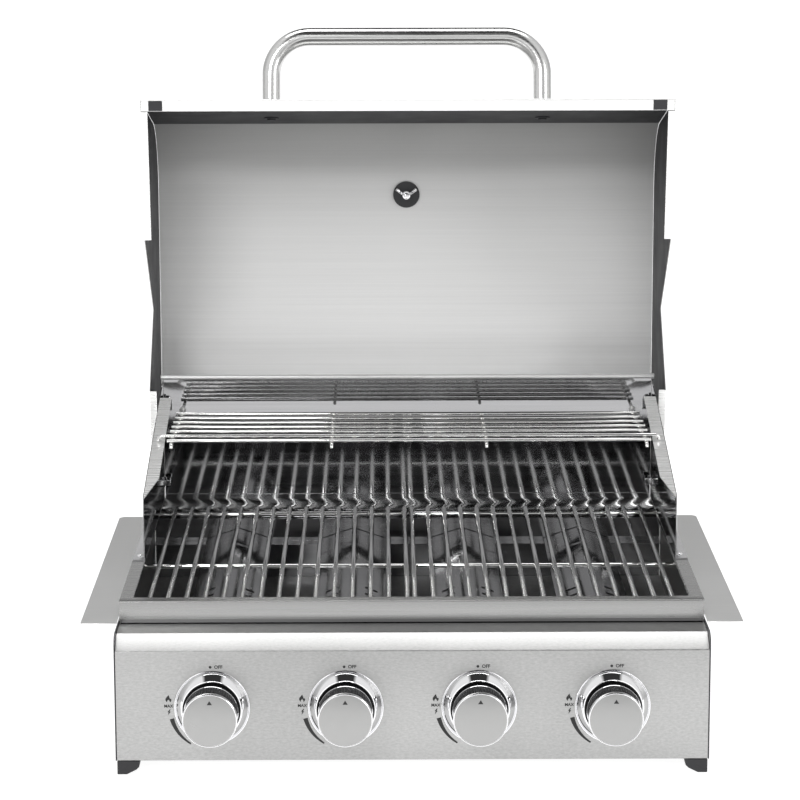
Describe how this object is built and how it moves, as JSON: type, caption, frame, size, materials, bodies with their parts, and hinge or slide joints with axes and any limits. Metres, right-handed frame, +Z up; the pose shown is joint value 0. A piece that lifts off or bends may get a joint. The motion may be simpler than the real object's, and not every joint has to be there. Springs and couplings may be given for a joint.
{
  "type": "gas barbecue grill",
  "caption": "Drop-in gas barbecue grill: stainless firebox with open hinged hood, bar grates, warming rack, row of round control knobs and side mounting wings.",
  "frame": {"origin": "on the ground plane under the feet, at the centre of the overall box with the lid open", "axes": "+X to the right, +Y from the control panel to the back, +Z up"},
  "size_m": [0.6966, 0.7544, 0.7382],
  "materials": {
    "brushed_steel": "satin, grain along the width",
    "mirror_steel": "bright annealed sheet",
    "chrome": "polished plating",
    "rod_steel": "polished round bar",
    "aluminised_steel": "dull coated sheet",
    "brass": "as cast",
    "black_plastic": "moulded, fine grain",
    "black_enamel": "semi-gloss dark coating"
  },
  "bodies": {
    "base": {"control_panel": "brushed_steel", "firebox_side_left": "brushed_steel", "firebox_side_right": "brushed_steel", "side_ledge_left": "brushed_steel", "side_ledge_right": "brushed_steel", "mounting_wing_left": "brushed_steel", "mounting_wing_right": "brushed_steel", "front_rail": "mirror_steel", "firebox_front_wall": "mirror_steel", "firebox_rear_wall": "mirror_steel", "splash_back": "mirror_steel", "fixed_side_left": "mirror_steel", "fixed_side_right": "mirror_steel", "flame_tamer_1": "mirror_steel", "flame_tamer_2": "mirror_steel", "flame_tamer_3": "mirror_steel", "flame_tamer_4": "mirror_steel", "hinge_bolt_left": "chrome", "hinge_bolt_right": "chrome", "lid_stop_left": "chrome", "lid_stop_right": "chrome", "bezel_1": "chrome", "bezel_2": "chrome", "bezel_3": "chrome", "bezel_4": "chrome", "cooking_grate_left": "rod_steel", "cooking_grate_right": "rod_steel", "warming_rack": "rod_steel", "firebox_floor": "aluminised_steel", "tray_cradle": "aluminised_steel", "gas_manifold": "aluminised_steel", "burner_1": "aluminised_steel", "burner_2": "aluminised_steel", "burner_3": "aluminised_steel", "burner_4": "aluminised_steel", "gas_valve_1": "brass", "gas_valve_2": "brass", "gas_valve_3": "brass", "gas_valve_4": "brass", "foot_front_left": "black_plastic", "foot_front_right": "black_plastic", "foot_rear_left": "black_plastic", "foot_rear_right": "black_plastic", "end_plate_left": "black_enamel", "end_plate_right": "black_enamel"},
    "lid": {"lid_skin": "brushed_steel", "lid_end_left": "mirror_steel", "lid_end_right": "mirror_steel", "lid_handle": "brushed_steel", "lid_thermometer": "chrome", "thermometer_wing_nut": "chrome"},
    "tray": {"grease_tray": "aluminised_steel"},
    "stem_1": {"valve_stem_1": "chrome"},
    "knob_1": {"knob_1": "brushed_steel"},
    "stem_2": {"valve_stem_2": "chrome"},
    "knob_2": {"knob_2": "brushed_steel"},
    "stem_3": {"valve_stem_3": "chrome"},
    "knob_3": {"knob_3": "brushed_steel"},
    "stem_4": {"valve_stem_4": "chrome"},
    "knob_4": {"knob_4": "brushed_steel"}
  },
  "joints": [
    {"name": "lid_hinge", "type": "hinge", "parent": "base", "child": "lid", "pos_m": [0, 0.21784, 0.193], "axis": [1, 0, 0], "range_deg": [0, 79.3]},
    {"name": "tray_slide", "type": "slide", "parent": "base", "child": "tray", "axis": [0, 1, 0], "range_m": [0, 0.4]},
    {"name": "knob_push_1", "type": "slide", "parent": "base", "child": "stem_1", "axis": [0, 1, 0], "range_m": [0, 0.003], "stiffness_N_per_m": 1500},
    {"name": "knob_turn_1", "type": "hinge", "parent": "stem_1", "child": "knob_1", "pos_m": [-0.2095, -0.35316, 0.073], "axis": [0, -1, 0], "range_deg": [0, 150]},
    {"name": "knob_push_2", "type": "slide", "parent": "base", "child": "stem_2", "axis": [0, 1, 0], "range_m": [0, 0.003], "stiffness_N_per_m": 1500},
    {"name": "knob_turn_2", "type": "hinge", "parent": "stem_2", "child": "knob_2", "pos_m": [-0.0698, -0.35316, 0.073], "axis": [0, -1, 0], "range_deg": [0, 150]},
    {"name": "knob_push_3", "type": "slide", "parent": "base", "child": "stem_3", "axis": [0, 1, 0], "range_m": [0, 0.003], "stiffness_N_per_m": 1500},
    {"name": "knob_turn_3", "type": "hinge", "parent": "stem_3", "child": "knob_3", "pos_m": [0.0698, -0.35316, 0.073], "axis": [0, -1, 0], "range_deg": [0, 150]},
    {"name": "knob_push_4", "type": "slide", "parent": "base", "child": "stem_4", "axis": [0, 1, 0], "range_m": [0, 0.003], "stiffness_N_per_m": 1500},
    {"name": "knob_turn_4", "type": "hinge", "parent": "stem_4", "child": "knob_4", "pos_m": [0.2095, -0.35316, 0.073], "axis": [0, -1, 0], "range_deg": [0, 150]}
  ]
}
